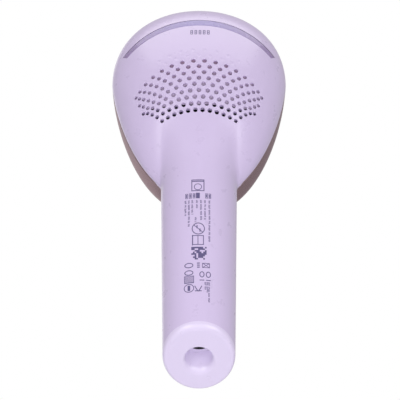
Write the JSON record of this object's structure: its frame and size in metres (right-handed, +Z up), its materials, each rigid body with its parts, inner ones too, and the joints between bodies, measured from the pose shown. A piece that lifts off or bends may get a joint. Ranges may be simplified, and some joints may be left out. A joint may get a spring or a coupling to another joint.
{
  "type": "ipl hair remover",
  "caption": "Hand-held flash lamp hair remover with a vented round head, a lilac handle and a pull-off treatment attachment.",
  "frame": {"origin": "on the handle's axis in the slanted end face, at the mouth of the power inlet", "axes": "+Z up the handle towards the head, -Y the treatment side, +Y the vented back, +X to the right seen from the treatment side"},
  "size_m": [0.087, 0.079, 0.1946],
  "materials": {
    "lilac_shell": "satin",
    "rose_cover": "satin metallic",
    "pale_plastic": "satin",
    "light_guide": "frosted",
    "black_plastic": "matte",
    "board": "satin",
    "led": "gloss",
    "steel": "brushed",
    "alloy": "satin",
    "mirror_metal": "polished",
    "quartz": "gloss",
    "amber_glass": "gloss",
    "gold": "polished",
    "silicone": "matte",
    "seal_rubber": "matte",
    "copper_winding": "gloss",
    "sleeve": "gloss",
    "trigger_violet": "satin",
    "bezel_gold": "satin metallic",
    "wire_red": "satin",
    "wire_white": "satin"
  },
  "bodies": {
    "device": {"rear_housing": "lilac_shell", "front_housing": "lilac_shell", "head_cover": "rose_cover", "end_cap": "lilac_shell", "ready_light_guide": "light_guide", "ready_led_board": "board", "ready_leds": "led", "inner_chassis": "pale_plastic", "chassis_screws": "steel", "air_duct": "pale_plastic", "vent_screen": "steel", "fan_frame": "black_plastic", "fan_screws": "steel", "heatsink": "alloy", "lamp_housing": "pale_plastic", "reflector": "mirror_metal", "flash_lamp": "quartz", "lamp_electrodes": "steel", "lamp_holders": "silicone", "igniter_transformer": "copper_winding", "filter_glass": "amber_glass", "snout_frame": "pale_plastic", "snout_gasket": "seal_rubber", "exit_glass": "quartz", "nose_bezel": "bezel_gold", "coding_pins": "gold", "skin_sensor": "black_plastic", "main_board": "board", "charging_transformer": "copper_winding", "board_components": "black_plastic", "board_screws": "steel", "storage_capacitor": "sleeve", "capacitor_clip": "pale_plastic", "ui_board": "board", "ui_leds": "led", "indicator_lens": "quartz", "trigger_spring": "steel", "trigger_switch": "black_plastic", "power_switch": "black_plastic", "confirm_switch": "black_plastic", "dc_jack": "black_plastic", "jack_pin": "steel", "jack_seal": "seal_rubber", "dc_leads": "wire_red", "lamp_leads": "wire_white", "fan_lead": "wire_red", "ready_lead": "wire_red", "ui_cable": "wire_white"},
    "fan": {"fan_rotor": "black_plastic"},
    "trigger": {"trigger_button": "trigger_violet", "trigger_stem": "pale_plastic"},
    "power_key": {"power_button": "pale_plastic"},
    "confirm_key": {"confirm_button": "pale_plastic"},
    "attachment": {"attachment_shell": "pale_plastic", "attachment_window": "quartz", "attachment_mirror": "mirror_metal", "coding_pads": "gold", "contact_springs": "steel"},
    "skin_contact": {"contact_frame": "pale_plastic"}
  },
  "joints": [
    {"name": "fan_spin", "type": "hinge", "parent": "device", "child": "fan", "pos_m": [0, 0.003, 0.129], "axis": [0, 1, 0], "continuous": true},
    {"name": "trigger_press", "type": "slide", "parent": "device", "child": "trigger", "axis": [0, 1, 0], "range_m": [0, 0.0016], "stiffness_N_per_m": 800, "springref_m": -0.001, "deforming": ["trigger_spring"]},
    {"name": "power_press", "type": "slide", "parent": "device", "child": "power_key", "axis": [0, 1, 0], "range_m": [0, 0.0008], "stiffness_N_per_m": 900, "springref_m": -0.001},
    {"name": "confirm_press", "type": "slide", "parent": "device", "child": "confirm_key", "axis": [0, 1, 0], "range_m": [0, 0.0008], "stiffness_N_per_m": 900, "springref_m": -0.001},
    {"name": "attachment_slide", "type": "slide", "parent": "device", "child": "attachment", "axis": [0, -1, 0], "range_m": [0, 0.014]},
    {"name": "skin_contact_press", "type": "slide", "parent": "attachment", "child": "skin_contact", "axis": [0, 1, 0], "range_m": [0, 0.0012], "stiffness_N_per_m": 1500, "springref_m": -0.001, "deforming": ["contact_springs"]}
  ]
}
